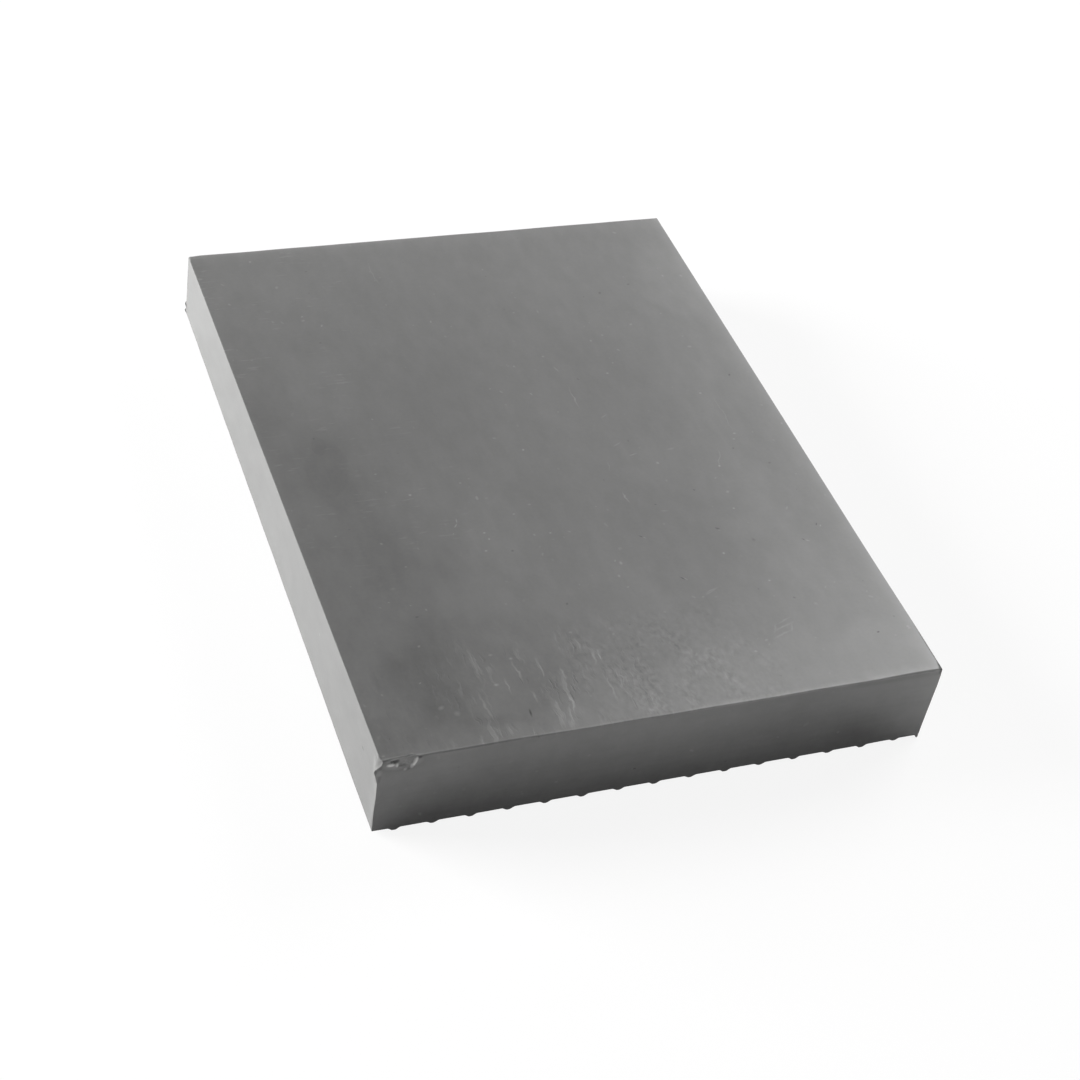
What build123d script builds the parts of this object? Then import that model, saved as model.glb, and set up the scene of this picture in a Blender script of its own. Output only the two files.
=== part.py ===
from build123d import *
import os

os.makedirs("parts", exist_ok=True)

# A solid rubber block, cut to length from a strip with a plain top and a ribbed underside.
# X runs across the ribs, Y along them, and Z up from the plane of the rib tips.
# The origin lies under the middle of the block. Front is -Y and left is -X.

# Slab
block_width = 120.0
block_length = 160.0
slab_thickness = 20.0       # from the lands between the ribs to the top face
top_edge_round = 0.4        # all round the top face
corner_round = 0.9          # upright edge at the front right corner, rubbed round

# Ribs on the underside
rib_pitch = 7.85
rib_height = 0.65
rib_base = 2.7              # across the root
rib_tip = 0.45              # flat that the block stands on
rib_root_round = 0.6
first_rib_inset = 4.55      # left wall to the middle of the first rib
cut_rib_width = 0.95        # what the slitting knife left of the next rib, at the right wall

# Slanted trim along the lower left edge, which runs out towards the front
trim_height = 3.9           # up the left wall at the back
trim_width = 2.5            # in along the underside at the back
trim_run_out = 8.0          # from the front wall to where the trim begins

# Spall torn out of the front top edge at the left corner, as sections along the edge
spall_sections = (
    # along the edge from the left wall, in from the front wall, down from the top face
    (-2.0, 0.40, 1.2),
    (1.5, 1.25, 1.5),
    (3.3, 0.85, 2.3),
    (5.1, 1.20, 3.7),
    (6.6, 0.95, 2.6),
    (7.7, 0.90, 1.2),
    (9.4, 0.15, 0.3),
)
spall_hollow = 0.75         # how far in its middle lies, as a share of the depth

# Lip of torn rubber that stands out of the left wall below the spall
lip_reach = 1.1
lip_top = 1.4               # below the top face
lip_tip = 2.9
lip_foot = 7.6
lip_run = 4.5               # back along the left wall

# Knife burr on the upright edge at the back left corner
burr_reach = 1.1
burr_foot = 2.9             # above the lands
burr_tip = 5.4
burr_top = 9.6
burr_run = 3.0              # in along the back wall

# Places worked out from the sizes
clear = 1.0                 # how far a cutting shape stands out of the block
sunk = 0.5                  # how far an added lip starts inside the block
left = -block_width / 2
right = block_width / 2
front = -block_length / 2
back = block_length / 2
land = rib_height
top = rib_height + slab_thickness

# Whole ribs that fit between the inset and the knife cut at the right wall
rib_room = block_width - first_rib_inset - rib_base / 2 - cut_rib_width
rib_count = int(rib_room // rib_pitch) + 1
rib_places = [left + first_rib_inset + rib_pitch * i for i in range(rib_count)]

# Underside outline from the left wall to the right wall
underside = [(left, land)]
for x in rib_places:
    underside += [
        (x - rib_base / 2, land),
        (x - rib_tip / 2, 0),
        (x + rib_tip / 2, 0),
        (x + rib_base / 2, land),
    ]
underside += [(right - cut_rib_width, land), (right, 0)]

# Plane of the slanted trim, facing into the block
trim_start = Vector(left, front + trim_run_out, land)
trim_up_wall = Vector(left, back, land + trim_height) - trim_start
trim_in_base = Vector(left + trim_width, back, land) - trim_start
trim_plane = Plane(origin=trim_start, x_dir=trim_up_wall, z_dir=trim_in_base.cross(trim_up_wall))

with BuildPart() as rubber_block:
    # Strip profile, carried along the ribs
    with BuildSketch(Plane.XZ) as profile:
        with BuildLine():
            Polyline((right, top), (left, top), *underside, close=True)
        make_face()
        roots = profile.vertices().filter_by_position(Axis.Y, land / 2, land * 2).sort_by(Axis.X)
        fillet(roots[1:-1], rib_root_round)
    extrude(amount=block_length / 2, both=True)

    # Rubbed corner, then the soft edge round the top face
    uprights = rubber_block.edges().filter_by(Axis.Z).group_by(Axis.X)[-1]
    fillet(uprights.sort_by(Axis.Y)[0], corner_round)
    fillet(rubber_block.faces().sort_by(Axis.Z)[-1].edges(), top_edge_round)

    # Slanted trim of the lower left edge
    split(bisect_by=trim_plane, keep=Keep.TOP)

    # Lip of torn rubber on the left wall, from the front wall back until it sinks in
    for run, reach in ((0, lip_reach), (lip_run, -sunk / 2)):
        with BuildSketch(Plane.XZ.offset(-front - run)):
            with BuildLine():
                Polyline(
                    (left + sunk, top - lip_top),
                    (left - reach, top - lip_tip),
                    (left + sunk, top - lip_foot),
                    close=True,
                )
            make_face()
    loft()

    # Knife burr on the back wall, from the left wall in until it sinks in
    for run, reach in ((0, burr_reach), (burr_run, -sunk / 2)):
        with BuildSketch(Plane.YZ.offset(left + run)):
            with BuildLine():
                Polyline(
                    (back - sunk, land + burr_top),
                    (back + reach, land + burr_tip),
                    (back - sunk, land + burr_foot),
                    close=True,
                )
            make_face()
    loft()

    # Spall: hollow wedge sections across the front top edge, lofted along it
    for run, depth, drop in spall_sections:
        with BuildSketch(Plane.YZ.offset(left + run)):
            with BuildLine():
                ThreePointArc(
                    (front + depth, top),
                    (front + depth * spall_hollow, top - drop * spall_hollow),
                    (front, top - drop),
                )
                Polyline(
                    (front, top - drop),
                    (front - clear, top - drop),
                    (front - clear, top + clear),
                    (front + depth, top + clear),
                    (front + depth, top),
                )
            make_face()
    loft(ruled=True, mode=Mode.SUBTRACT)

rubber_block.part.label = "rubber_block"
export_step(rubber_block.part, "parts/rubber_block.step")
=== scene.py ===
import bpy
import math
import numpy as np
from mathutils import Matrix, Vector


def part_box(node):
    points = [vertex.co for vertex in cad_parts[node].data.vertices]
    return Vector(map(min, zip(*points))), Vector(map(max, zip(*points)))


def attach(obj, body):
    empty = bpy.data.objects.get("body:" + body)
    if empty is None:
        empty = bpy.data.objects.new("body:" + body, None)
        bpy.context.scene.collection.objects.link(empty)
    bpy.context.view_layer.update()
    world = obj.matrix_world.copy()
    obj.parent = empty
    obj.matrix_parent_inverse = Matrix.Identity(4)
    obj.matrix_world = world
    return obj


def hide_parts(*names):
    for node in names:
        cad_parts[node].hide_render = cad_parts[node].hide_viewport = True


# Rubber block: a slab cut from ribbed strip, with one torn corner.
# Sizes are in millimetres until a mesh is written, X across the ribs, Y along them, Z up.
mm = 0.001

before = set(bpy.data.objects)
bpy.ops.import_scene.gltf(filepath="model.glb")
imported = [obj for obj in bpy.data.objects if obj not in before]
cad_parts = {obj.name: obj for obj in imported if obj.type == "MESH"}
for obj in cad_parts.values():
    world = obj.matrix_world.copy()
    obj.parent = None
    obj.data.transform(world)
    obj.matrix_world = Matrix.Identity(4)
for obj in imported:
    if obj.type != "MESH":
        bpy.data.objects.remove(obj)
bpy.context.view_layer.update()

scene = bpy.context.scene
scene.view_settings.view_transform = "Standard"


# Block shape
# What the camera sees of the real block, worked out from the node's own box where it can be
nodeLow, nodeHigh = (np.array(corner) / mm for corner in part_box("rubber_block"))

block = {
    "right": nodeHigh[0],
    "front": nodeLow[1],
    "top": nodeHigh[2],
    "ribHeight": 0.65,
    "ribBase": 2.7,
    "ribTip": 0.35,
    "ribPitch": 7.85,
    "ribCount": 15,
    "ribBow": 0.08,           # how far the flanks bow out of straight, as a share of the height
    "ribUneven": 0.14,        # how far the front ends differ in height, as a share of it
    "firstRib": 4.55,         # left wall to the middle of the first rib
    "cutRib": 1.15,           # width of the rib that the knife cut through at the right wall
    "cutSlope": 1.4,          # its flank, against one that rises over that whole width
    "landWander": 0.06,       # of the lands between the ribs, along their length
    # rises of the last land's front end: where each is full and where it ends, from the right wall, height
    "drawnUp": ((8, 14, 0.15), (2, 7, 0.55)),
    "edgeRound": 0.12,        # all round the top face, as the knife left it
    "softRound": 0.35,        # front top edge beside the torn corner
    "softStart": (8, 11),     # from the left wall: where it grows soft
    "softEnd": (24, 44),      # and where that fades
    "softReach": (3, 6),      # in from the front wall
    "cornerRound": 0.4,       # front right top corner, rubbed over
    "cornerRun": (2, 19),     # from the right wall
    "cornerReach": (0.5, 14),    # in from the front wall
    "lowerRound": 0.1,
    "roundChange": (1.5, 12),    # below the top face, from the upper rounding to the lower one
    "backRound": 0.4,         # upright edge at the back left
    "backRun": (0.8, 3),      # along both walls from that edge
    "backFoot": 4,            # above the lands
    "trimHeight": 3.9,
    "trimWidth": 2.5,
    "trimRunOut": 8.0,
    # how far the right wall stands out at its front end, for each distance below the top face
    "wallOut": ((0, 0.22), (2, 0.42), (5, 0.45), (8, 0.3), (12, 0.2), (16, 0.15), (20, 0.15)),
    "wallOutRun": 40,         # from the front wall back to where it no longer does
    "frontFoot": 0.28,        # how far the front wall, cut a little out of square, stands out at its foot
    "topWaviness": 0.05,
    "wallWaviness": 0.06,
}
left, right = -block["right"], block["right"]
front, back = block["front"], -block["front"]
land, top = block["ribHeight"], block["top"]


def ramp(x, start, end):
    # smooth step from 0 at start to 1 at end: 3t squared minus 2t cubed
    t = np.clip((x - start) / (end - start), 0.0, 1.0)
    return t * t * (3 - 2 * t)


def fall(x, start, end):
    # the same from 1 down to 0
    return 1 - ramp(x, start, end)


def ripple(places, size, seed, waves=14):
    # sum of plane waves with random directions and phases, about -1 to 1, one bump per size
    draw = np.random.default_rng(seed)
    ways = draw.normal(size=(waves, 3))
    ways *= (draw.uniform(0.6, 1.6, waves) / np.linalg.norm(ways, axis=1))[:, None]
    phases = draw.uniform(0, 2 * math.pi, waves)
    return np.sin(places @ ways.T * (math.pi / size) + phases).sum(axis=1) / math.sqrt(waves * 2)


def spread(start, end, first, last, most, growth=1.3):
    # steps from start to end that begin at first, end at last and grow no larger than most
    length = end - start
    up, down = [0.0], [0.0]
    stepUp, stepDown = first, last
    while up[-1] + down[-1] < length:
        if stepUp <= stepDown:
            up.append(up[-1] + stepUp)
            stepUp = min(stepUp * growth, most)
        else:
            down.append(down[-1] + stepDown)
            stepDown = min(stepDown * growth, most)
    share = length / (up[-1] + down[-1])
    return np.array(up) * share + start, end - np.array(down[::-1]) * share


def knots(*runs):
    # grid lines of several runs, joined, each one once
    lines = np.concatenate([np.concatenate(spread(*run)) for run in runs])
    return np.unique(lines.round(4))


def ribProfile(x):
    # height that the ribs stand below the lands: flat tip, bowed flanks, eased roots
    along = x - left - block["firstRib"]
    nearest = np.clip(np.round(along / block["ribPitch"]), 0, block["ribCount"] - 1)
    off = np.abs(along - nearest * block["ribPitch"])
    rise = (block["ribBase"] / 2 - off) / (block["ribBase"] / 2 - block["ribTip"] / 2)
    rise = np.clip(rise, 0, 1)
    eased = rise - block["ribBow"] * np.sin(2 * math.pi * rise)
    return block["ribHeight"] * np.maximum(eased, cutShare(x)), nearest


def cutShare(x):
    # rises from 0 to 1 over the sliver of rib that the knife left at the right wall
    return np.clip(block["cutSlope"] * (x - right + block["cutRib"]) / block["cutRib"], 0, 1)


def boxShell(xs, ys, zs):
    # closed box of grid lines: each surface point of the grid once, and the quads of its six sides
    nx, ny, nz = len(xs), len(ys), len(zs)
    inside = np.zeros((nx, ny, nz), bool)
    inside[1:-1, 1:-1, 1:-1] = True
    number = np.full((nx, ny, nz), -1)
    number[~inside] = np.arange(np.count_nonzero(~inside))
    i, j, k = np.nonzero(~inside)
    places = np.stack([xs[i], ys[j], zs[k]], axis=1)
    sides = [
        (number[:, :, -1], False), (number[:, :, 0], True),
        (number[-1, :, :], False), (number[0, :, :], True),
        (number[:, -1, :], True), (number[:, 0, :], False),
    ]
    quads = []
    for side, turned in sides:
        corners = [side[:-1, :-1], side[1:, :-1], side[1:, 1:], side[:-1, 1:]]
        if turned:
            corners.reverse()
        quads.append(np.stack(corners, axis=-1).reshape(-1, 4))
    return places, np.concatenate(quads)


def softShares(places):
    # 0 to 1: how soft the front top edge is beside the torn corner, and how far the right corner is rubbed
    x, y, z = places.T
    along, inward = x - left, y - front
    soft = ramp(along, *block["softStart"]) * fall(along, *block["softEnd"])
    rubbed = fall(right - x, *block["cornerRun"]) * fall(inward, *block["cornerReach"])
    return soft * fall(inward, *block["softReach"]), rubbed


def roundEdges(places):
    # each point goes to the ball of the local radius round the nearest point of a smaller box
    x, y, z = places.T
    soft, rubbed = softShares(places)
    sharp, lower = block["edgeRound"], block["lowerRound"]
    upper = sharp + (block["softRound"] - sharp) * soft + (block["cornerRound"] - sharp) * rubbed
    radius = lower + (upper - lower) * fall(top - z, *block["roundChange"])
    backLeft = fall(x - left, *block["backRun"]) * fall(back - y, *block["backRun"])
    backLeft = backLeft * ramp(z - land, 0, block["backFoot"])
    radius = radius + (block["backRound"] - radius) * backLeft
    low = np.array([left, front, land])
    high = np.array([right, back, top])
    core = np.clip(places, low + radius[:, None], high - radius[:, None])
    away = places - core
    return core + away * (radius / np.linalg.norm(away, axis=1))[:, None]


# Torn front left corner: a spall along the front top edge and a lip that the tear left below it
tear = {
    # along the edge from the left wall, in along the top, down the front wall
    "sections": (
        (-1.0, 0.25, 0.9), (0.6, 0.30, 1.0), (1.4, 0.36, 1.5), (2.5, 0.45, 2.1), (3.5, 0.46, 2.7),
        (5.1, 0.58, 3.9), (6.2, 0.62, 3.4), (6.7, 0.58, 3.0), (7.3, 0.16, 0.6), (9.2, 0.03, 0.1),
    ),
    "hollow": 0.04,           # how far the torn floor sinks below a straight wedge
    "grain": 0.10,            # height of the torn surface's own roughness
    "grainSizes": (0.6, 0.3),
    # pits and ridges in the torn floor: along, down, half width, half height, depth
    "pits": {
        "upperPit": (2.80, 0.80, 1.10, 0.45, 0.55),
        "lowerPit": (4.30, 1.85, 1.15, 0.45, 0.26),
        "endPit": (7.80, 0.50, 0.40, 0.35, 0.22),
        "flap": (2.05, 1.45, 0.95, 0.42, -0.14),
        "ridge": (3.35, 1.75, 0.32, 0.55, -0.16),
        "lowSpot": (5.00, 3.20, 0.50, 0.35, -0.06),
        "besideStreak": (6.20, 1.90, 0.50, 1.50, 0.10),
        "streak": (6.90, 1.40, 0.35, 1.50, -0.14),
    },
    # painted light and shade of the tear, such as highlights on its facets and shade in its pits: along,
    # down, half width, half height, slant, paler or darker
    "tones": {
        "floor": (4.20, 1.30, 4.00, 1.70, 0, 0.54),
        "topRim": (4.00, -0.35, 4.20, 0.36, 0, 0.42),
        "upperPit": (2.80, 0.75, 1.05, 0.36, 0, -0.60),
        "lowerPit": (4.70, 2.05, 1.10, 0.38, 0, -0.48),
        "endPit": (7.75, 0.45, 0.42, 0.35, 0, -0.45),
        "flap": (2.00, 1.42, 0.85, 0.44, 0, 2.30),
        "ridge": (3.35, 1.75, 0.32, 0.52, 0, 2.10),
        "topArc": (2.80, 0.10, 0.75, 0.30, 0, 0.75),
        "lowSpot": (5.05, 3.15, 0.42, 0.42, 0, 1.05),
        "streak": (6.92, 1.42, 0.36, 1.15, -0.24, 2.20),
        "streakFoot": (6.45, 2.50, 0.42, 0.80, -0.24, 1.10),
        "rimSpot": (6.20, -0.50, 0.55, 0.42, 0, 0.45),
        "paleBand": (2.75, 1.55, 1.20, 0.36, 0, 0.60),
        "uprightEdgeShade": (0.05, 5.00, 0.35, 1.20, 0, -0.30),
        "lipRoot": (-0.10, 3.30, 0.55, 0.90, 0, 0.30),
        "lipTip": (-0.95, 3.00, 0.30, 1.00, 0, -0.30),
    },
    "toneReach": 1.5,         # in from the front wall
    # how far the upright edge leans out to the left, for each distance below the top face
    "lean": (
        (0.0, -0.45), (0.5, -0.5), (1.4, 0.1), (2.2, 1.05), (2.7, 1.25), (4.2, 0.8), (6.2, 0.3),
        (10.0, 0.15), (13.8, 0.2), (19.9, 0.0),
    ),
    "leanOver": 1.6,          # how far in along the front wall the lean fades
    "nickRun": 1.4,           # back along the left wall: the nick above the lip
    "lipRun": 4.0,            # and the lip itself
}


def tearCorner(places):
    # points inside the wedge under each section's chord move square to the chord until they lie on it,
    # then sink by the hollow, the pits and the grain
    x, y, z = places.T
    along, inward, down = x - left, y - front, top - z
    at, depth, drop = np.array(tear["sections"]).T
    depth, drop = np.interp(along, at, depth), np.interp(along, at, drop)
    short = 1 - inward / depth - down / drop
    torn = (short > 0) & (along < at[-1])
    steep = 1 / depth**2 + 1 / drop**2
    moveIn, moveDown = short / depth / steep, short / drop / steep
    along, inward, down = along[torn], (inward + moveIn)[torn], (down + moveDown)[torn]
    part = np.clip(down / drop[torn], 0, 1)
    depthHere, dropHere = depth[torn], drop[torn]
    chord = np.hypot(depthHere, dropHere)
    shallow = np.minimum(1, dropHere)
    sink = tear["hollow"] * 4 * part * (1 - part) * shallow
    for pitAlong, pitDown, halfWide, halfHigh, pitDepth in tear["pits"].values():
        far = ((along - pitAlong) / halfWide) ** 2 + ((down - pitDown) / halfHigh) ** 2
        sink = sink + pitDepth * np.clip(1 - far, 0, 1)
    coarse, finer = tear["grainSizes"]
    rough = ripple(places[torn], coarse, seed=5) + 0.6 * ripple(places[torn], finer, seed=6)
    sink = sink + tear["grain"] * rough * np.minimum(1, 5 * part * (1 - part) + 0.15) * shallow
    places[torn, 1] = front + inward + sink * dropHere / chord
    places[torn, 2] = top - down - sink * depthHere / chord

    # nick and lip: the upright edge and what lies close to it on both walls leans in, then out
    x, y, z = places.T
    at, lean = np.array(tear["lean"]).T
    lean = np.interp(top - z, at, lean)
    run = np.where(lean < 0, tear["nickRun"], tear["lipRun"])
    lean = lean * np.clip(1 - (y - front) / run, 0, 1) ** 1.5
    places[:, 0] = x - lean * np.clip(1 - (x - left) / tear["leanOver"], 0, 1)


# Knife burr low on the back left upright edge
burr = {
    "reach": 0.75,            # out of the back wall
    "sideReach": 0.16,        # out of the left wall
    "lobes": ((4.1, 0.75), (6.1, 0.8)),    # height above the lands, half height
    "shapeSharpness": 1.5,
    # how sharply the painted shade at the burr gathers on each lobe
    "shadeSharpness": 4,
    "run": 2.6,               # in along the back wall
    "sideRun": 0.8,           # the same for what stands out of the left wall
    "alongWall": 1.6,         # forward along the left wall
}


def trimmedLeft(z):
    # where the left wall ends at the back, which the slanted trim moves in near the foot
    return left + block["trimWidth"] * np.clip(1 - (z - land) / block["trimHeight"], 0, 1)


def burrLobes(z, sharpness):
    # a bell over the height for each lobe
    return sum(np.exp(-(((z - land - height) / half) ** 2) * sharpness) for height, half in burr["lobes"])


def raiseBurr(places):
    # two small lobes up the edge, fading along both walls
    x, y, z = places.T
    lobes = burrLobes(z, burr["shapeSharpness"])
    fromLeft = x - trimmedLeft(z)
    nearLeft = np.clip(1 - fromLeft / burr["run"], 0, 1) ** 1.5
    nearBack = np.clip(1 - (back - y) / burr["alongWall"], 0, 1)
    places[:, 1] = y + burr["reach"] * lobes * nearLeft * nearBack
    places[:, 0] = x - burr["sideReach"] * lobes * np.clip(1 - fromLeft / burr["sideRun"], 0, 1) * nearBack


# Slanted trim along the lower left edge
def trimEdge(places):
    # points outside the slanted plane drop straight onto it
    start = np.array([left, front + block["trimRunOut"], land])
    upWall = np.array([left, back, land + block["trimHeight"]]) - start
    inBase = np.array([left + block["trimWidth"], back, land]) - start
    inwards = np.cross(inBase, upWall)
    inwards /= np.linalg.norm(inwards)
    outside = np.minimum(0, (places - start) @ inwards)
    places -= outside[:, None] * inwards


def leanWalls(places):
    # the right wall stands out towards its front end by the table of heights, the front wall towards its foot
    x, y, z = places.T
    down, out = np.array(block["wallOut"]).T
    near = fall(right - x, 0, 2.5) * fall(y - front, 0, block["wallOutRun"])
    places[:, 0] = x + np.interp(top - z, down, out) * near
    foot = block["frontFoot"] * (top - z) / (top - land)
    places[:, 1] = y - foot * np.clip(1 - (y - front) / 8, 0, 1)


# Broad patches of painted light and shade on the front wall: x, down, half width, half height, change
frontPaintedLight = {
    "middle": (-5, 4, 17, 9, 0.12),
    "rightFoot": (45, 14, 8, 5, -0.33),
    "rightMiddle": (29, 10, 10, 14, -0.12),
    "leftFoot": (-47, 14.5, 11, 5, -0.17),
}

# Changes of tone along the edges and on the walls, most of them painted light and shade
tonesAndPaintedLight = {
    "lipSide": 0.30,          # painted highlight on the torn rim of the lip, on the left wall
    "nick": -0.30,            # above the lip
    "softEdge": 0.20,         # painted light on the front top edge where it is soft
    "hairline": 0.08,         # painted light all along that edge
    "rightCorner": 0.50,      # painted light on the front wall beside the right corner
    "underEdge": -0.17,       # painted shade just below the top edge there
    "leftBack": 0.06,         # painted light on the left wall towards the back
    "leftFront": -0.07,       # painted shade, towards the front
    "frontHigh": 0.06,        # painted light on the front wall near the top
    "frontLow": -0.07,        # painted shade near the foot
    "endFoot": -0.15,         # painted shade on both cut ends, towards the foot
    "endLowest": -0.40,       # and more in the lowest quarter
    "rightRim": 0.30,         # top face along the right edge, wide
    "rightLine": 0.20,        # and narrow
    "backRim": 0.12,
    "backLine": 0.15,         # on the left half only
    "sliver": -0.80,          # painted shade along the right edge near the front corner
    # painted shade at the burr
    "burrShade": -1.15,
}


def tearTones(along, inward, down):
    # each tone fades from the middle of its ellipse to the rim
    drop = down - np.minimum(inward, 2)
    tone = np.zeros(len(along))
    for toneAlong, toneDown, halfWide, halfHigh, slant, change in tear["tones"].values():
        off = along - toneAlong - slant * (drop - toneDown)
        far = (off / halfWide) ** 2 + ((drop - toneDown) / halfHigh) ** 2
        tone += change * np.clip(1.3 - far, 0, 1)
    return tone * (inward < tear["toneReach"])


def sliverShare(x, inward, down, onFront):
    # 1 on the dark sliver of painted shade along the right edge, which is wider towards the front corner
    width = 0.22 + 0.1 * np.clip(1 - inward / 9, 0, 1) + 0.42 * np.clip(1 - inward / 2.6, 0, 1)
    fromEdge = right + block["wallOut"][0][1] * fall(inward, 0, block["wallOutRun"]) - x
    sliver = fall(fromEdge, width - 0.05, width + 0.15) * ramp(inward, 0, 0.4) * fall(inward, 9, 15)
    sliver = sliver * fall(down, 3.5, 5.5) * fall(np.minimum(inward, down), 0.3, 0.8)
    tip = np.clip(1.3 - np.hypot((right + 0.1 - x) / 0.6, (down - 0.3) / 1.1), 0, 1) * onFront
    return np.maximum(sliver, tip)


def edgeTones(places):
    # painted light and shade of the tear, the edges and the walls, other paler or darker edge tones, and how
    # rough the tear is
    x, y, z = places.T
    along, inward, down = x - left, y - front, top - z
    fromRight, fromBack = right - x, back - y
    onFront = fall(inward, 0.2, 0.5)
    tone = tearTones(along, inward, down)
    nick = np.clip(1 - np.abs(along) / 0.5, 0, 1) * fall(inward, 0.3, 2.2) * fall(down, 1.8, 2.6)
    # painted highlight along the lip's torn rim on the left wall, and the nick darker
    lipSide = np.exp(-(((down - 2.6) / 0.9) ** 2) - (inward / 1.5) ** 2) * ramp(inward, 0, 0.2)
    tone += tonesAndPaintedLight["lipSide"] * lipSide * (along < 0.2) + tonesAndPaintedLight["nick"] * nick

    # painted light makes the front top edge pale, more where it is soft
    soft = softShares(places)[0]
    edge = np.hypot(inward, down)
    tone += tonesAndPaintedLight["softEdge"] * np.clip(1.2 - edge / 0.55, 0, 1) * soft
    tone += tonesAndPaintedLight["hairline"] * np.clip(1.2 - edge / 0.25, 0, 1)

    # painted light makes the front wall pale beside the right corner, but not just below the top edge, where
    # painted shade darkens a band
    level = 1 + 0.3 * ramp(down, 2, 6) - 0.55 * ramp(down, 12, 20)
    tone += tonesAndPaintedLight["rightCorner"] * np.exp(-fromRight / 8) * level * onFront * (down > 0.1)
    tone += tonesAndPaintedLight["underEdge"] * fall(fromRight, 14, 26) * fall(inward, 0.2, 0.4) * fall(down, 1.2, 1.9)

    # painted light and shade: the left wall is a little darker towards the front and paler towards the back
    leftWall = fall(along, 0.1, 0.4) * ramp(inward, 0, 1)
    tone += (tonesAndPaintedLight["leftBack"] * ramp(y, 10, 50) + tonesAndPaintedLight["leftFront"] * ramp(-y, 35, 75)) * leftWall

    # painted shade darkens the two cut ends at the foot, and the front one has a pale band of painted light
    # and broad patches of painted light and shade too
    high = ramp(down, 0, 3) * fall(down, 4, 10)
    tone += (tonesAndPaintedLight["frontHigh"] * high + tonesAndPaintedLight["frontLow"] * ramp(down, 11, 17)) * onFront
    share = (down - 8) / 12
    foot = tonesAndPaintedLight["endFoot"] * share + tonesAndPaintedLight["endLowest"] * np.clip(share - 0.5, 0, 1)
    tone += foot * (np.minimum(inward, fromBack) < 0.5)
    for middle, patchDown, halfWide, halfHigh, change in frontPaintedLight.values():
        far = ((x - middle) / halfWide) ** 2 + ((down - patchDown) / halfHigh) ** 2
        tone += change * np.exp(-far) * onFront * (down > 0.3)

    # right and back edges of the top face are a little pale
    rim = tonesAndPaintedLight["rightRim"] * np.exp(-fromRight / 3.5)
    rim += tonesAndPaintedLight["rightLine"] * np.clip(1 - fromRight / 3, 0, 1) ** 2
    rim += tonesAndPaintedLight["backRim"] * np.clip(1 - fromBack / 5, 0, 1)
    rim += tonesAndPaintedLight["backLine"] * np.clip(1.2 - fromBack / 1.2, 0, 1) * fall(x, -10, 10)
    tone += rim * (down < 0.3)

    # painted shade in the dark sliver along the right edge and in the burr
    sliver = sliverShare(x, inward, down, onFront)
    nearBurr = np.clip(1.4 - np.hypot(x - trimmedLeft(z), y - back - 0.3) / 1.2, 0, 1)
    burrShading = burrLobes(z, burr["shadeSharpness"]) * nearBurr
    tone = tone * (1 - sliver) + tonesAndPaintedLight["sliver"] * sliver + tonesAndPaintedLight["burrShade"] * burrShading

    # torn rubber is rough: 1 in the torn corner and on the nick, 0 elsewhere
    torn = np.clip(1.5 - np.hypot((along - 3.5) / 5.0, (down - 1.6) / 2.0), 0, 1) * fall(inward, 1.2, 1.8)
    return {"edgeTone": tone, "tornShare": np.maximum(torn, np.minimum(nick * 3, 1))}


# Grid of the block's surface, finer where it bends
grid = {
    # start, end, first step, last step, largest step
    "x": (
        (left, left + 8, 0.06, 0.17, 0.17),
        (left + 8, left + 11, 0.17, 1, 1),
        (left + 11, right, 2.6, 0.07, 2.6),
    ),
    "y": (
        (front, front + 5, 0.05, 0.5, 0.5),
        (front + 5, back, 0.5, 0.07, 4.0),
    ),
    "z": (
        (land, land + 2.6, 0.05, 0.3, 0.5),
        (land + 2.6, land + 7.8, 0.3, 0.3, 0.3),
        (land + 7.8, top - 7, 0.3, 0.3, 1.6),
        (top - 7, top - 4.2, 0.3, 0.18, 0.3),
        (top - 4.2, top, 0.18, 0.04, 0.18),
    ),
    # lines over each rib, as shares of half its root
    "rib": (-1, -0.8, -0.58, -0.36, -0.17, 0, 0.17, 0.36, 0.58, 0.8, 1),
    "closest": 0.05,          # lines along Y nearer than this are one
}


def makeBlock():
    ribMiddles = left + block["firstRib"] + np.arange(block["ribCount"]) * block["ribPitch"]
    ribLines = (ribMiddles[:, None] + np.array(grid["rib"]) * block["ribBase"] / 2).ravel()
    xs = np.unique(np.round(np.concatenate([knots(*grid["x"]), ribLines]), 3))
    xs = xs[np.concatenate([[True], np.diff(xs) > grid["closest"]])]
    ys, zs = knots(*grid["y"]), knots(*grid["z"])
    places, quads = boxShell(xs, ys, zs)
    print("grid lines", len(xs), len(ys), len(zs), "quads", len(quads))

    places = roundEdges(places)
    x, y, z = places.T
    inward = y - front
    lowest = fall(z - land, 0, 0.3)
    # ribs: cut ends of uneven height, with a slow wander along their length
    drop, nearest = ribProfile(x)
    uneven = 1 + block["ribUneven"] * np.sin(nearest * 2.9 + 1) * fall(inward, 0, 3)
    drop = np.minimum(drop * np.where(cutShare(x) > 0, 1, uneven), block["ribHeight"])
    lands = block["landWander"] * ripple(np.stack([x, y * 0.1, 0 * z], axis=1), 9, seed=3)
    # the cut end of the last land has drawn up beside the sliver of cut rib
    drawn = sum(height * fall(right - x, full, none) for full, none, height in block["drawnUp"])
    drawn = drawn * fall(inward, 0, 5) * (1 - cutShare(x))
    places[:, 2] = z - (drop - np.maximum(lands, 0) * (drop < 0.05) - drawn) * lowest
    tearCorner(places)
    leanWalls(places)
    trimEdge(places)
    raiseBurr(places)

    # slow unevenness of the moulded top and the cut walls, none on the plane that it stands on
    x, y, z = places.T
    free = ramp(z - land, 0.5, 4)
    sag = ripple(places * (1, 0.35, 1), 17, seed=11)
    places[:, 2] = z - block["topWaviness"] * (1 + sag) * 0.5 * free * fall(top - z, 0, 5)
    places[:, 1] = y + block["wallWaviness"] * ripple(places * (1, 0.1, 0.6), 11, seed=12) * free
    return places, quads, edgeTones(places)


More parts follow.
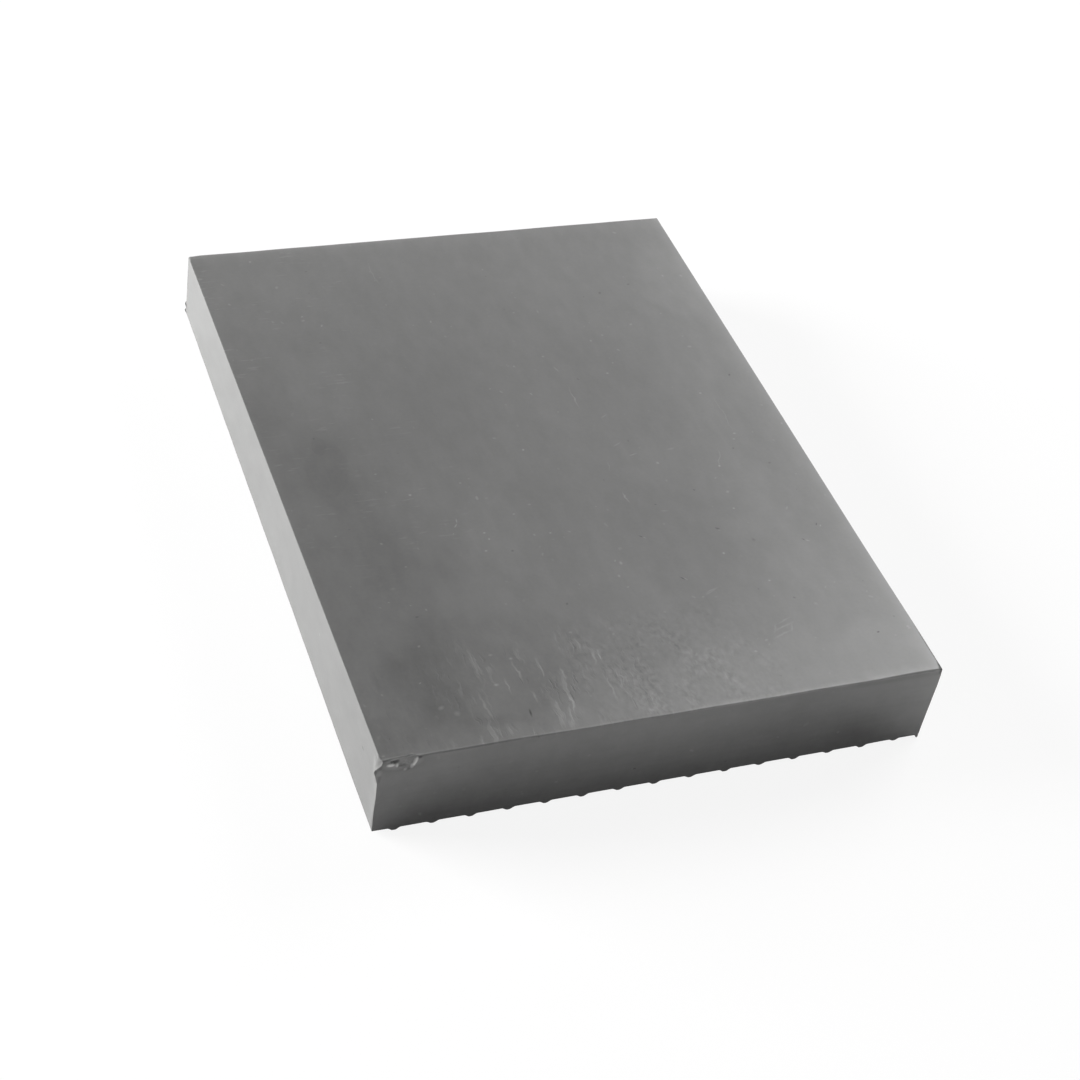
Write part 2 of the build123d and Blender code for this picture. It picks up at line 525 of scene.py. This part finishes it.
def putMesh(name, places, quads, values):
    mesh = bpy.data.meshes.new(name)
    mesh.vertices.add(len(places))
    mesh.vertices.foreach_set("co", (places * mm).astype(np.float32).ravel())
    mesh.loops.add(quads.size)
    mesh.loops.foreach_set("vertex_index", quads.astype(np.int32).ravel())
    mesh.polygons.add(len(quads))
    mesh.polygons.foreach_set("loop_start", np.arange(0, quads.size, 4, dtype=np.int32))
    mesh.update(calc_edges=True)
    for key, value in values.items():
        mesh.attributes.new(key, "FLOAT", "POINT").data.foreach_set("value", value.astype(np.float32))
    mesh.validate()
    mesh.shade_smooth()
    piece = bpy.data.objects.new(name, mesh)
    scene.collection.objects.link(piece)
    return piece


blockPiece = putMesh("rubberBlock", *makeBlock())
print("stage 2: block mesh made")


# Shader sums
class Wire:
    # a socket that takes part in sums: each operator adds the Math node that works it out
    def __init__(self, shade, socket):
        self.shade, self.socket = shade, socket

    def sum(self, operation, first, second):
        return self.shade.add("ShaderNodeMath", {"operation": operation}, {0: first, 1: second})

    def __add__(self, other):
        return self.sum("ADD", self, other)

    def __radd__(self, other):
        return self.sum("ADD", other, self)

    def __sub__(self, other):
        return self.sum("SUBTRACT", self, other)

    def __rsub__(self, other):
        return self.sum("SUBTRACT", other, self)

    def __mul__(self, other):
        return self.sum("MULTIPLY", self, other)

    def __rmul__(self, other):
        return self.sum("MULTIPLY", other, self)


class Shade:
    # the nodes of one material or world: add makes a node, sets it up, feeds its sockets and gives its output
    def __init__(self, owner):
        owner.use_nodes = True
        self.tree = owner.node_tree
        self.tree.nodes.clear()

    def add(self, kind, settings, inputs, out=0):
        node = self.tree.nodes.new(kind)
        for key, value in settings.items():
            if key == "mapping":
                for part, numbers in value.items():
                    setattr(node.texture_mapping, part, numbers)
            else:
                setattr(node, key, value)
        for key, value in inputs.items():
            if isinstance(value, Wire):
                self.tree.links.new(value.socket, node.inputs[key])
            else:
                node.inputs[key].default_value = value
        return Wire(self, node.outputs[out]) if node.outputs else None

    def smooth(self, value, start, end):
        # 0 at start and before it, 1 at end and past it, eased between
        return self.add(
            "ShaderNodeMapRange", {"interpolation_type": "SMOOTHSTEP"},
            {"Value": value, "From Min": start, "From Max": end},
        )

    def noise(self, place, size, detail, out="Fac"):
        # noise of about one lump per size, mean 0.5
        inputs = {"Vector": place, "Scale": 1 / size, "Detail": detail}
        return self.add("ShaderNodeTexNoise", {}, inputs, out)

    def bend(self, place, size, by):
        # place moved by a noise of about one lump per size
        push = self.noise(place, size, 2, "Color")
        push = self.add("ShaderNodeVectorMath", {"operation": "SUBTRACT"}, {0: push, 1: (0.5, 0.5, 0.5)})
        return self.add("ShaderNodeVectorMath", {"operation": "MULTIPLY_ADD"}, {0: push, 1: by, 2: place})

    def stretch(self, place, by):
        return self.add("ShaderNodeVectorMath", {"operation": "MULTIPLY"}, {0: place, 1: by})

    def ball(self, place, centre, halves, turn=0):
        # 1 in the middle of an ellipsoid, falling evenly to 0 at its surface
        mapping = {"vector_type": "TEXTURE", "translation": centre, "rotation": (0, 0, turn), "scale": halves}
        settings = {"gradient_type": "SPHERICAL", "mapping": mapping}
        return self.add("ShaderNodeTexGradient", settings, {"Vector": place}, "Fac")

    def mark(self, place, x, y, halfLong, halfWide, turn):
        # the same for an ellipse on the top face
        return self.ball(place, (x, y, 0), (halfLong, halfWide, 1), math.radians(turn))


# Rubber finish
rubber = {
    "grey": (0.150, 0.150, 0.148),
    "roughness": 0.36,
    "tornRoughness": 0.4,     # more than that in the tear
    "darkRoughness": 0.5,     # and where the edge tone is darkest, as in the painted shade of the burr and the sliver
    "bumpStrength": 0.6,
    "bumpHeight": 0.06 * mm,
    # mottling of the whole block: size of its lumps in millimetres, change of tone
    "slow": (24, 0.16),
    "middling": (3.2, 0.24),
    "fine": (0.8, 0.10),
    # factors on the changes in the tables of marks
    "markStrength": 2.2,
    "wallMarkStrength": 1.3,
    # how a noise bends the areas and the long marks: size of one bend, how far it pushes
    "areaBend": (9, (14, 14, 0)),
    "markBend": (2.5, (1.8, 0.9, 0)),
    "bentFrom": 1.7,          # marks whose half length passes this are bent
}

# Broad soft areas of the top face: x, y, half length, half width, turn from X in degrees, paler or darker
areas = {
    "darkSide": (-63, -38, 78, 37, 90, -0.17),
    "paleFront": (34, -76, 52, 15, 0, 0.11),
    "darkFront": (-37, -66, 24, 15, 0, -0.06),
    "darkMiddle": (-5, 0, 85, 60, 90, -0.10),
    "darkBackLeft": (-58, 32, 24, 10, 90, -0.08),
    "darkRightMiddle": (22, -35, 30, 18, 90, -0.06),
    "paleBackRight": (53, 54, 17, 10, 90, 0.10),
    "darkRight": (56, -12, 50, 12, 90, -0.09),
    "darkScuffs": (-33, -61, 24, 21, 0, -0.13),
    "darkCorner": (-61, -77, 14, 11, 0, -0.09),
    "darkFrontEdge": (-36, -79, 15, 7, 0, -0.10),
    "paleCorner": (56, -80, 15, 5, 0, 0.12),
    "cloud": (-16, -25, 16, 10, 100, 0.05),
}

# The smudge on the left, with a sharper rim
smudges = {
    "smudge": (-48.0, 1.0, 9.5, 5.0, 75, -0.05),
    "smudgeTop": (-47.8, 9.0, 3.4, 1.7, 80, -0.05),
    "smudgeFoot": (-46.0, -4.5, 8.0, 5.6, 60, -0.03),
}

# Single marks of the top face: x, y, half length, half width, turn from X in degrees, paler or darker
marks = {
    "crescentTop": (-25.5, -19.0, 0.9, 0.22, 80, 0.30),
    "crescentFoot": (-26.1, -20.4, 0.9, 0.22, 50, 0.32),
    "longScratch": (46.4, 4.6, 7.2, 0.16, 90, 0.14),
    "dotScratch": (39.2, -10.0, 4.0, 0.18, 70, 0.16),
    "dotScratchEnd": (38.3, -12.4, 0.35, 0.3, 0, 0.45),
    "backScratch": (13.9, 15.5, 4.4, 0.24, 91, 0.20),
    "shortScratch": (20.1, -5.4, 1.4, 0.2, 16, 0.22),
    "midScratch": (13.3, -18.5, 2.3, 0.24, 95, 0.24),
    "curvedScratch": (-18.4, 67.0, 6.8, 0.22, 93, 0.10),
    "rubOne": (31.8, -62.0, 3.2, 0.35, 19, 0.14),
    "rubThree": (30.8, -64.0, 3.0, 0.32, 19, 0.12),
    "rubFour": (32.6, -60.4, 2.6, 0.30, 19, 0.12),
    "rubFive": (29.9, -62.0, 1.9, 0.30, 62, 0.10),
    "rubSix": (33.4, -62.6, 1.9, 0.30, 62, 0.10),
    "rubTwo": (20.8, -49.1, 2.1, 0.3, 20, 0.14),
    "darkDot": (51.3, -67.4, 0.45, 0.28, 15, -0.50),
    "nickOne": (52.3, -34.2, 0.55, 0.2, 60, -0.35),
    "nickOnePale": (53.0, -34.8, 0.4, 0.22, 60, 0.30),
    "nickTwo": (47.3, -38.2, 0.55, 0.2, 130, -0.32),
    "nickTwoPale": (48.1, -38.7, 0.6, 0.22, 150, 0.28),
    "nickThree": (12.1, -30.8, 0.7, 0.2, 140, -0.25),
    "nickThreePale": (12.7, -31.3, 0.6, 0.2, 140, 0.22),
    "nickFour": (16.2, -44.5, 0.9, 0.2, 130, -0.30),
    "nickFourPale": (16.8, -44.8, 0.7, 0.2, 130, 0.22),
    "backNick": (53.5, 17.5, 0.5, 0.3, 60, -0.32),
    "speckOne": (-32.8, -9.5, 0.45, 0.32, 0, 0.45),
    "speckTwo": (-43.1, -22.9, 0.45, 0.3, 150, 0.32),
    "speckThree": (-20.8, -23.6, 0.4, 0.3, 0, 0.36),
    "speckFour": (-20.4, -25.6, 0.35, 0.3, 0, 0.36),
    "speckFive": (-22.2, -28.9, 0.42, 0.3, 0, 0.34),
    "speckSix": (-3.8, 0.3, 0.42, 0.34, 60, 0.40),
    "speckSeven": (-6.9, -26.2, 0.4, 0.28, 0, 0.34),
    "speckEight": (-21.0, -7.7, 0.4, 0.26, 0, 0.28),
    "speckNine": (-51.8, -19.0, 0.4, 0.3, 0, 0.20),
    "speckTen": (-38.2, -1.8, 0.5, 0.28, 10, 0.26),
    "speckEleven": (-40.1, -30.4, 0.38, 0.28, 0, 0.24),
    "dotPairTop": (4.8, -37.7, 0.45, 0.7, 0, 0.26),
    "dotPairFoot": (3.0, -41.3, 0.4, 0.5, 0, 0.22),
    "rightDotOne": (28.0, -39.0, 0.4, 0.4, 0, 0.36),
    "rightDotTwo": (34.5, -48.7, 0.4, 0.3, 0, 0.30),
    "rightDotThree": (35.9, -26.1, 0.4, 0.35, 0, 0.30),
    "rightDotFour": (36.7, -20.8, 0.6, 0.5, 40, 0.20),
    "scratchEndOne": (46.2, -2.5, 0.5, 0.35, 0, 0.26),
    "scratchEndTwo": (45.3, -4.3, 0.4, 0.35, 0, 0.20),
    "darkDotTwo": (50.2, -13.4, 0.5, 0.35, 0, -0.18),
    "darkDotThree": (36.2, -36.3, 0.5, 0.7, 0, -0.14),
    "curlOne": (18.3, 8.2, 1.3, 0.25, 30, 0.13),
    "curlTwo": (17.8, -1.5, 1.5, 0.25, 27, 0.15),
    "curlThree": (29.5, -5.0, 1.3, 0.4, 10, 0.12),
    "curlFour": (20.3, -24.1, 1.2, 0.3, -10, 0.12),
    "curlFive": (20.4, -49.6, 1.6, 0.22, 23, 0.14),
    "shortOne": (13.4, -8.4, 1.8, 0.22, 78, 0.10),
    "backDotOne": (24.7, 22.7, 0.45, 0.35, 0, 0.30),
    "backDotTwo": (43.9, 12.3, 0.45, 0.35, 0, 0.30),
    "backDotThree": (37.0, 39.3, 0.6, 0.4, 30, 0.22),
    "backDotFour": (28.6, 36.4, 0.4, 0.35, 0, 0.20),
    "backDotFive": (30.4, 30.5, 0.6, 0.35, 140, 0.20),
    "backDotSix": (10.3, 47.8, 0.4, 0.3, 0, 0.20),
    "backDotSeven": (16.2, 47.3, 0.35, 0.8, 0, 0.14),
    "backDotEight": (11.7, 30.9, 0.45, 0.4, 0, 0.22),
    "backDash": (13.2, 26.0, 1.4, 0.3, 110, 0.18),
    "scuffOne": (-26.9, -63.0, 3.6, 0.32, 96, 0.24),
    "scuffTwo": (-25.9, -70.0, 2.0, 0.40, 95, 0.22),
    "scuffThree": (-30.2, -66.3, 2.5, 0.28, 90, 0.24),
    "scuffFour": (-18.3, -65.2, 2.3, 0.34, 88, 0.28),
    "scuffFive": (-19.3, -73.4, 3.6, 0.30, 90, 0.26),
    "scuffSix": (-10.5, -62.0, 2.6, 0.45, 90, 0.24),
    "scuffSeven": (-10.0, -71.0, 4.0, 0.34, 90, 0.20),
    "scuffEight": (-36.2, -70.6, 5.2, 0.34, 97, 0.17),
    "scuffDark": (-28.1, -74.0, 1.3, 0.3, 85, -0.32),
    "scuffShade": (-18.7, -71.5, 2.4, 0.28, 90, -0.20),
    "blotOne": (-44.8, -69.2, 0.9, 0.6, 30, 0.18),
    "blotTwo": (-42.2, -71.2, 0.8, 0.9, 0, 0.16),
    "blotThree": (-32.3, -65.6, 0.7, 0.45, 0, 0.26),
    "blotFour": (-30.9, -57.7, 0.6, 0.4, 0, 0.20),
    "blotFive": (-27.2, -59.4, 0.5, 0.4, 0, 0.26),
}

# Marks on the walls: place, half sizes, paler or darker
wallMarks = {
    "leftCurl": ((left, -70, 13.5), (1, 0.9, 0.35), -0.60),
    "leftDot": ((left, -38.7, 13.2), (1, 0.5, 0.4), 0.30),
    "frontDot": ((-22.7, front, 6.1), (0.5, 1, 0.4), 0.30),
}

# Scuffs along Y near the front edge: where they fade in along both axes, their size and tone
scuffs = {
    "fromBack": (-46, -64),
    "fromRight": (6, -12),
    "fromLeft": (-52, -36),
    "leftShare": 0.3,         # what is left of them at the left wall
    "width": 1.15,
    "length": 8.0,
    "clump": 6.5,
    "blotch": 1.7,
    "pale": 0.19,
    "dark": 0.16,
    "roughness": 0.08,
}

# Grainy patch beside the scuffs
grainPatch = {
    "fromBack": (-48, -60),
    "fromLeft": (-22, -8),
    "fromRight": (36, 12),
    "lump": 1.1,
    "tone": 0.85,
}

# Short faint lines across the left half, in patches
faintLines = {
    "fromRight": (-15, -35),
    "fromFront": (-45, -15),
    "width": 0.7,
    "length": 4.375,
    "patch": 9,
    "tone": 0.2,
}

# Lines that the knife left along the two cut ends
knifeLines = {"width": 1.2, "length": 30, "tone": 0.12}

# Front top edge rubbed pale in places
rubbedEdge = {"fromLeft": (0, 12), "patch": 5, "tone": 0.2}

# Specks and pits of every face
specks = {
    "spacing": 2.1,
    "radius": 0.42,
    "share": 0.32,            # of the cells that hold one
    "patch": 13,              # they gather in patches of about this size
    "pale": 0.48,
    "roughness": 0.1,
    "pitShare": 0.06,
    "pitDark": 0.35,
}


def makeRubber():
    material = bpy.data.materials.new("greyRubber")
    shade = Shade(material)
    place = shade.add("ShaderNodeTexCoord", {}, {}, "Object")
    place = shade.add("ShaderNodeVectorMath", {"operation": "SCALE"}, {0: place, "Scale": 1 / mm})
    x, y, z = (shade.add("ShaderNodeSeparateXYZ", {}, {0: place}, axis) for axis in "XYZ")
    flat = shade.stretch(place, (1, 1, 0))
    onTop = shade.smooth(z, top - 0.6, top - 0.15)

    # slow mottling of the whole block, and a fine grain
    slowLump, slowTone = rubber["slow"]
    middlingLump, middlingTone = rubber["middling"]
    fineLump, fineTone = rubber["fine"]
    slow = shade.noise(shade.stretch(place, (1, 0.7, 1)), slowLump, 2) - 0.5
    middling = shade.noise(shade.stretch(place, (1, 0.5, 1)), middlingLump, 3) - 0.5
    fine = shade.noise(place, fineLump, 2) - 0.5
    tone = 1 + slow * slowTone + middling * middlingTone + fine * fineTone

    # pale and dark areas and single marks, each an ellipse with a soft rim that a noise bends
    bent = shade.bend(flat, *rubber["areaBend"])
    wiggly = shade.bend(flat, *rubber["markBend"])
    for *shape, change in areas.values():
        tone = tone + shade.smooth(shade.mark(bent, *shape), 0, 0.45) * change * onTop
    for *shape, change in smudges.values():
        tone = tone + shade.smooth(shade.mark(wiggly, *shape), 0, 0.18) * change * onTop
    single = 0
    for *shape, change in marks.values():
        onFlat = wiggly if shape[2] > rubber["bentFrom"] else flat
        single = shade.mark(onFlat, *shape) * (rubber["markStrength"] * change) + single
    single = single * onTop
    for centre, halves, change in wallMarks.values():
        single = shade.ball(place, centre, halves) * (rubber["wallMarkStrength"] * change) + single

    # scuffs: stretched noise, pale where it is high and dark where it is low, in clumps near the front
    clump = shade.noise(shade.stretch(flat, (1, 0.5, 1)), scuffs["clump"], 3)
    clump = shade.smooth(clump, 0.42, 0.58)
    area = shade.smooth(y, *scuffs["fromBack"]) * shade.smooth(x, *scuffs["fromRight"])
    fromLeft = shade.smooth(x, *scuffs["fromLeft"]) * (1 - scuffs["leftShare"]) + scuffs["leftShare"]
    area = area * fromLeft * clump * onTop
    slender = scuffs["width"] / scuffs["length"]
    streak = shade.noise(shade.stretch(wiggly, (1, slender, 1)), scuffs["width"], 3)
    blotch = shade.noise(shade.stretch(wiggly, (1, 0.45, 1)), scuffs["blotch"], 3)
    blotch = shade.smooth(blotch, 0.50, 0.66)
    paleStreak = (shade.smooth(streak, 0.52, 0.68) + blotch * 0.4) * area
    darkStreak = shade.smooth(streak, 0.41, 0.30) * area
    tone = tone + paleStreak * scuffs["pale"] - darkStreak * scuffs["dark"]

    # grainy patch at the front right of the scuffs, and short faint lines across the left half
    patch = shade.smooth(y, *grainPatch["fromBack"]) * shade.smooth(x, *grainPatch["fromLeft"])
    patch = patch * shade.smooth(x, *grainPatch["fromRight"]) * onTop
    grain = shade.noise(shade.stretch(wiggly, (1, 0.6, 1)), grainPatch["lump"], 2) - 0.5
    grain = grain * patch * (clump * 0.8 + 0.4)
    slender = faintLines["width"] / faintLines["length"]
    lines = shade.noise(shade.stretch(flat, (slender, 1, 1)), faintLines["width"], 2)
    lines = shade.smooth(lines, 0.58, 0.70)
    lines = lines * shade.smooth(shade.noise(flat, faintLines["patch"], 2), 0.48, 0.60)
    lines = lines * shade.smooth(x, *faintLines["fromRight"]) * onTop
    lines = lines * shade.smooth(y, *faintLines["fromFront"])
    tone = tone + grain * grainPatch["tone"] + lines * faintLines["tone"]

    # knife lines along the two cut ends
    cutEnd = shade.smooth(y, front + 0.6, front + 0.2) + shade.smooth(y, back - 0.6, back - 0.2)
    slender = knifeLines["width"] / knifeLines["length"]
    knife = shade.noise(shade.stretch(place, (slender, 1, 1)), knifeLines["width"], 3) - 0.5
    tone = tone + knife * cutEnd * (1 - onTop) * knifeLines["tone"]

    # specks of every face: small balls at random places in the rubber, cut by its surface
    cells = {"Vector": shade.bend(place, 4, (3, 3, 3)), "Scale": 1 / specks["spacing"]}
    centre = shade.add("ShaderNodeTexVoronoi", {}, cells, "Distance")
    chance = shade.add("ShaderNodeTexVoronoi", {}, cells, "Color")
    pick, size = (shade.add("ShaderNodeSeparateColor", {}, {0: chance}, part) for part in ("Red", "Green"))
    radius = (size * 0.9 + 0.45) * (specks["radius"] / specks["spacing"])
    speck = shade.smooth(centre, radius, radius * 0.35) * shade.smooth(pick, 1 - specks["share"], 1)
    speck = speck * (shade.smooth(shade.noise(place, specks["patch"], 2), 0.40, 0.60) * 0.8 + 0.2)
    speck = speck * (onTop * 0.5 + 0.5)
    pit = shade.smooth(centre, radius * 0.8, radius * 0.3) * shade.smooth(pick, specks["pitShare"], 0.02)
    tone = tone + single + speck * specks["pale"] - pit * specks["pitDark"]

    # front top edge rubbed pale in places, and the tones of edges and tears from the mesh, mostly painted
    # light and shade
    rub = shade.smooth(y, front + 1.6, front + 0.3) * shade.smooth(z, top - 0.9, top - 0.2)
    rub = rub * shade.smooth(x, *rubbedEdge["fromLeft"])
    rub = rub * (shade.smooth(shade.noise(flat, rubbedEdge["patch"], 2), 0.42, 0.6) * 0.6 + 0.4)
    edge = shade.add("ShaderNodeAttribute", {"attribute_name": "edgeTone"}, {}, "Fac")
    tone = tone + rub * rubbedEdge["tone"] + edge

    # a quarter of the tone mixes from black to four times the grey, so a tone of 1 gives the grey itself
    colour = shade.add(
        "ShaderNodeMix", {"data_type": "RGBA"},
        {0: tone * 0.25, 6: (0, 0, 0, 1), 7: (*(4 * part for part in rubber["grey"]), 1)}, 2,
    )
    roughness = rubber["roughness"] + slow * 0.10 + fine * 0.05
    roughness = roughness + paleStreak * scuffs["roughness"] + speck * specks["roughness"]
    torn = shade.add("ShaderNodeAttribute", {"attribute_name": "tornShare"}, {}, "Fac")
    roughness = roughness + shade.smooth(edge, -0.4, -0.8) * rubber["darkRoughness"]
    roughness = roughness + torn * rubber["tornRoughness"]

    # pale scuffs stand out a little and dark ones cut in, and the mottling is uneven too
    height = fine * 0.25 + middling * 0.5 + paleStreak * 0.8 - darkStreak + grain * 0.8
    normal = shade.add(
        "ShaderNodeBump", {},
        {"Strength": rubber["bumpStrength"], "Distance": rubber["bumpHeight"], "Height": height},
    )
    surface = shade.add(
        "ShaderNodeBsdfPrincipled", {}, {"Base Color": colour, "Roughness": roughness, "Normal": normal},
    )
    shade.add("ShaderNodeOutputMaterial", {}, {"Surface": surface})
    return material


blockPiece.data.materials.append(makeRubber())
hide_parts("rubber_block")
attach(blockPiece, "root")
print("stage 3: rubber finish made")


# Studio
floor = {
    "size": 6.0,
    "colour": 0.8,
    "white": 1.03,            # what the camera sees of it where it is fully lit is white
    "cameraShare": 0.85,      # the rest is the lit paper, which keeps the shadow
    "mirrorShare": 0.25,
}


def makeFloor():
    half = floor["size"] / 2
    mesh = bpy.data.meshes.new("floor")
    corners = [(-half, -half, 0), (half, -half, 0), (half, half, 0), (-half, half, 0)]
    mesh.from_pydata(corners, [], [(0, 1, 2, 3)])
    piece = bpy.data.objects.new("floor", mesh)
    scene.collection.objects.link(piece)
    material = bpy.data.materials.new("floorPaper")
    shade = Shade(material)
    camera, glossy, through = (
        shade.add("ShaderNodeLightPath", {}, {}, ray)
        for ray in ("Is Camera Ray", "Is Glossy Ray", "Is Transmission Ray")
    )
    share = camera * floor["cameraShare"] + (glossy + through) * floor["mirrorShare"]
    paper = shade.add("ShaderNodeBsdfDiffuse", {}, {"Color": (floor["colour"],) * 3 + (1,)})
    white = shade.add("ShaderNodeEmission", {}, {"Color": (1, 1, 1, 1), "Strength": floor["white"]})
    mixed = shade.add("ShaderNodeMixShader", {}, {0: share, 1: paper, 2: white})
    shade.add("ShaderNodeOutputMaterial", {}, {"Surface": mixed})
    mesh.materials.append(material)


makeFloor()

# The two large lamps add to diffuse light alone, so that no side shows their mirror image in the top.
# The two sheen lamps give the gloss in their place.
lamps = {
    # place and aim in metres, width and height in metres, watts, and what it adds to
    "left": ((-1.037, 0.506, 0.331), (0, 0, 0), (0.7, 0.7), 40.0, ("diffuse",)),
    "right": ((0.942, 0.544, 0.507), (0, 0, 0), (0.7, 0.7), 12.4, ("diffuse",)),
    "highSheen": ((0.796, 0.460, 0.771), (0, 0, 0), (0.5, 0.5), 3.8, ("glossy",)),
    "lowSheen": ((0.735, 0.735, 0.600), (0, 0, 0), (0.5, 0.5), 0.75, ("glossy",)),
    "backLow": ((0.560, 0.920, 0.370), (0, 0, 0), (0.7, 0.7), 1.5),
    "cornerCard": ((0.198, -0.155, 0.067), (0, 0, 0), (0.12, 0.12), 0.02),
    "frontStrip": ((0.006, -0.104, 0.030), (0.006, -0.080, 0.012), (0.15, 0.012), 0.0055),
}


def makeLamp(name, place, aim, size, power, parts=("diffuse", "glossy")):
    lamp = bpy.data.lights.new(name, "AREA")
    lamp.shape = "RECTANGLE"
    lamp.size, lamp.size_y = size
    lamp.energy = power
    piece = bpy.data.objects.new(name, lamp)
    piece.location = place
    piece.rotation_euler = (Vector(aim) - Vector(place)).to_track_quat("-Z", "Y").to_euler()
    piece.visible_camera = False
    piece.visible_diffuse = "diffuse" in parts
    piece.visible_glossy = "glossy" in parts
    scene.collection.objects.link(piece)


for name, setting in lamps.items():
    makeLamp(name, *setting)


# Even white light from all round, and how bright the camera sees it
surroundings = {"light": 0.1, "seen": 1.0}


def makeWorld():
    world = bpy.data.worlds.new("studio")
    shade = Shade(world)
    light, seen = surroundings["light"], surroundings["seen"]
    strength = shade.add("ShaderNodeLightPath", {}, {}, "Is Camera Ray") * (seen - light) + light
    background = shade.add("ShaderNodeBackground", {}, {"Color": (1, 1, 1, 1), "Strength": strength})
    shade.add("ShaderNodeOutputWorld", {}, {"Surface": background})
    scene.world = world


makeWorld()
print("stage 4: studio made")

# Camera place and turn (degrees) from the photo's vanishing lines
view = {
    "place": (-166.6, -333.8, 330.6),
    "turn": (47.398, -8.385, -19.494),
    "lens": 73.61,
    "sensor": 36.0,
}
cameraData = bpy.data.cameras.new("camera")
cameraData.lens, cameraData.sensor_width = view["lens"], view["sensor"]
camera = bpy.data.objects.new("camera", cameraData)
camera.location = np.array(view["place"]) * mm
camera.rotation_euler = [math.radians(angle) for angle in view["turn"]]
scene.collection.objects.link(camera)
bpy.context.scene.camera = camera
print("stage 5: camera set")
